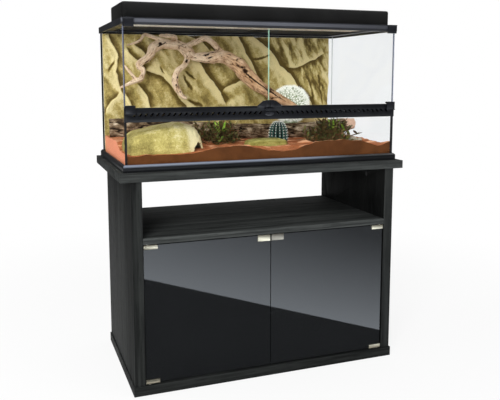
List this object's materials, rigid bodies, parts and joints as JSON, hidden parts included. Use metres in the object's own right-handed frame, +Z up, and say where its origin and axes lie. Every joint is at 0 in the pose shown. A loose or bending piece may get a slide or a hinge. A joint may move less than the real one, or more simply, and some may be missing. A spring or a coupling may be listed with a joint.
{
  "type": "terrarium cabinet",
  "caption": "Glass terrarium with front doors, mesh lid and lamp hood, furnished as a desert, on a black board cabinet with an open shelf and smoked glass doors.",
  "frame": {"origin": "on the floor, under the middle of the top board", "axes": "+Z up, +X to the right as seen from the front, +Y from the front to the back"},
  "size_m": [0.944, 0.5, 1.1746],
  "materials": {
    "black_board": "matt black-grey board with a fine wood grain",
    "hardboard": "black hardboard",
    "beech": "plain beech dowel",
    "zinc": "zinc-plated steel",
    "nylon": "ivory nylon",
    "catch_plastic": "black plastic",
    "smoked_glass": "dark smoked float glass",
    "nickel": "champagne nickel",
    "clear_glass": "clear float glass",
    "black_plastic": "moulded black plastic with a blue-grey sheen",
    "silicone": "black silicone",
    "wire": "black-coated metal mesh",
    "hood_plastic": "moulded black plastic",
    "reflector": "satin aluminium sheet",
    "porcelain": "white glazed ceramic",
    "lamp_white": "white lamp glass and base",
    "rocker_red": "red rocker",
    "sand": "orange-red desert sand",
    "rock": "olive-yellow moulded rock",
    "log": "grey-brown bark",
    "driftwood": "bleached grapevine wood",
    "cactus_white": "white-spined moulded cactus",
    "cactus_green": "blue-green moulded cactus",
    "leaf": "green plastic leaves"
  },
  "bodies": {
    "cabinet": {"top_board": "black_board", "left_side_panel": "black_board", "right_side_panel": "black_board", "base_board": "black_board", "middle_shelf": "black_board", "back_panel": "hardboard", "dowels": "beech", "cam_fasteners": "zinc", "hinge_bushes": "nylon", "left_push_catch": "catch_plastic", "right_push_catch": "catch_plastic", "catch_screws": "zinc"},
    "left_catch_plunger": {"left_catch_plunger": "nylon"},
    "right_catch_plunger": {"right_catch_plunger": "nylon"},
    "left_cabinet_door": {"left_door_glass": "smoked_glass", "left_door_hinges": "nickel", "left_hinge_pins": "zinc", "left_grub_screws": "zinc", "left_strike_plate": "nickel"},
    "right_cabinet_door": {"right_door_glass": "smoked_glass", "right_door_hinges": "nickel", "right_hinge_pins": "zinc", "right_grub_screws": "zinc", "right_strike_plate": "nickel"},
    "tank": {"bottom_frame": "black_plastic", "bottom_pane": "clear_glass", "rear_pane": "clear_glass", "left_pane": "clear_glass", "right_pane": "clear_glass", "front_window": "clear_glass", "silicone_seals": "silicone", "vent_strip": "black_plastic", "oval_plate": "black_plastic", "top_frame": "black_plastic", "sand": "sand", "rock_background": "rock", "rock_hide": "rock", "fallen_log": "log", "driftwood": "driftwood", "spiny_cactus": "cactus_white", "barrel_cactus": "cactus_green", "left_plant": "leaf", "right_plant": "leaf", "flat_stone": "rock"},
    "left_tank_door": {"left_tank_door": "clear_glass", "left_tank_hinges": "black_plastic", "left_door_pull": "black_plastic"},
    "right_tank_door": {"right_tank_door": "clear_glass", "right_tank_hinges": "black_plastic", "right_door_pull": "black_plastic"},
    "latch": {"turn_latch": "black_plastic"},
    "lid": {"lid_frame": "black_plastic", "lid_mesh": "wire"},
    "hood": {"hood_shell": "hood_plastic", "reflector": "reflector", "lamp_holders": "porcelain", "lamps": "lamp_white", "switch_housing": "catch_plastic", "cord_gland": "catch_plastic"},
    "rocker": {"rocker": "rocker_red"}
  },
  "joints": [
    {"name": "left_cabinet_door_hinge", "type": "hinge", "parent": "cabinet", "child": "left_cabinet_door", "pos_m": [-0.39475, -0.2355, 0.25], "axis": [0, 0, -1], "range_deg": [0, 110]},
    {"name": "right_cabinet_door_hinge", "type": "hinge", "parent": "cabinet", "child": "right_cabinet_door", "pos_m": [0.39475, -0.2355, 0.25], "axis": [0, 0, 1], "range_deg": [0, 110]},
    {"name": "left_catch_slide", "type": "slide", "parent": "cabinet", "child": "left_catch_plunger", "axis": [0, 1, 0], "range_m": [0, 0.004], "stiffness_N_per_m": 400, "springref_m": -0.01},
    {"name": "right_catch_slide", "type": "slide", "parent": "cabinet", "child": "right_catch_plunger", "axis": [0, 1, 0], "range_m": [0, 0.004], "stiffness_N_per_m": 400, "springref_m": -0.01},
    {"name": "tank_lift", "type": "slide", "parent": "cabinet", "child": "tank", "axis": [0, 0, 1], "range_m": [0, 0.06]},
    {"name": "left_tank_door_hinge", "type": "hinge", "parent": "tank", "child": "left_tank_door", "pos_m": [-0.446, -0.225, 0.99], "axis": [0, 0, -1], "range_deg": [0, 110]},
    {"name": "right_tank_door_hinge", "type": "hinge", "parent": "tank", "child": "right_tank_door", "pos_m": [0.446, -0.225, 0.99], "axis": [0, 0, 1], "range_deg": [0, 110]},
    {"name": "latch_turn", "type": "hinge", "parent": "tank", "child": "latch", "pos_m": [0, -0.225, 0.8578], "axis": [0, 1, 0], "range_deg": [0, 90]},
    {"name": "lid_lift", "type": "slide", "parent": "tank", "child": "lid", "axis": [0, 0, 1], "range_m": [0, 0.12]},
    {"name": "hood_lift", "type": "slide", "parent": "lid", "child": "hood", "axis": [0, 0, 1], "range_m": [0, 0.15]},
    {"name": "rocker_tilt", "type": "hinge", "parent": "hood", "child": "rocker", "pos_m": [0.3, 0.022, 1.1506], "axis": [1, 0, 0], "range_deg": [0, 24]}
  ]
}
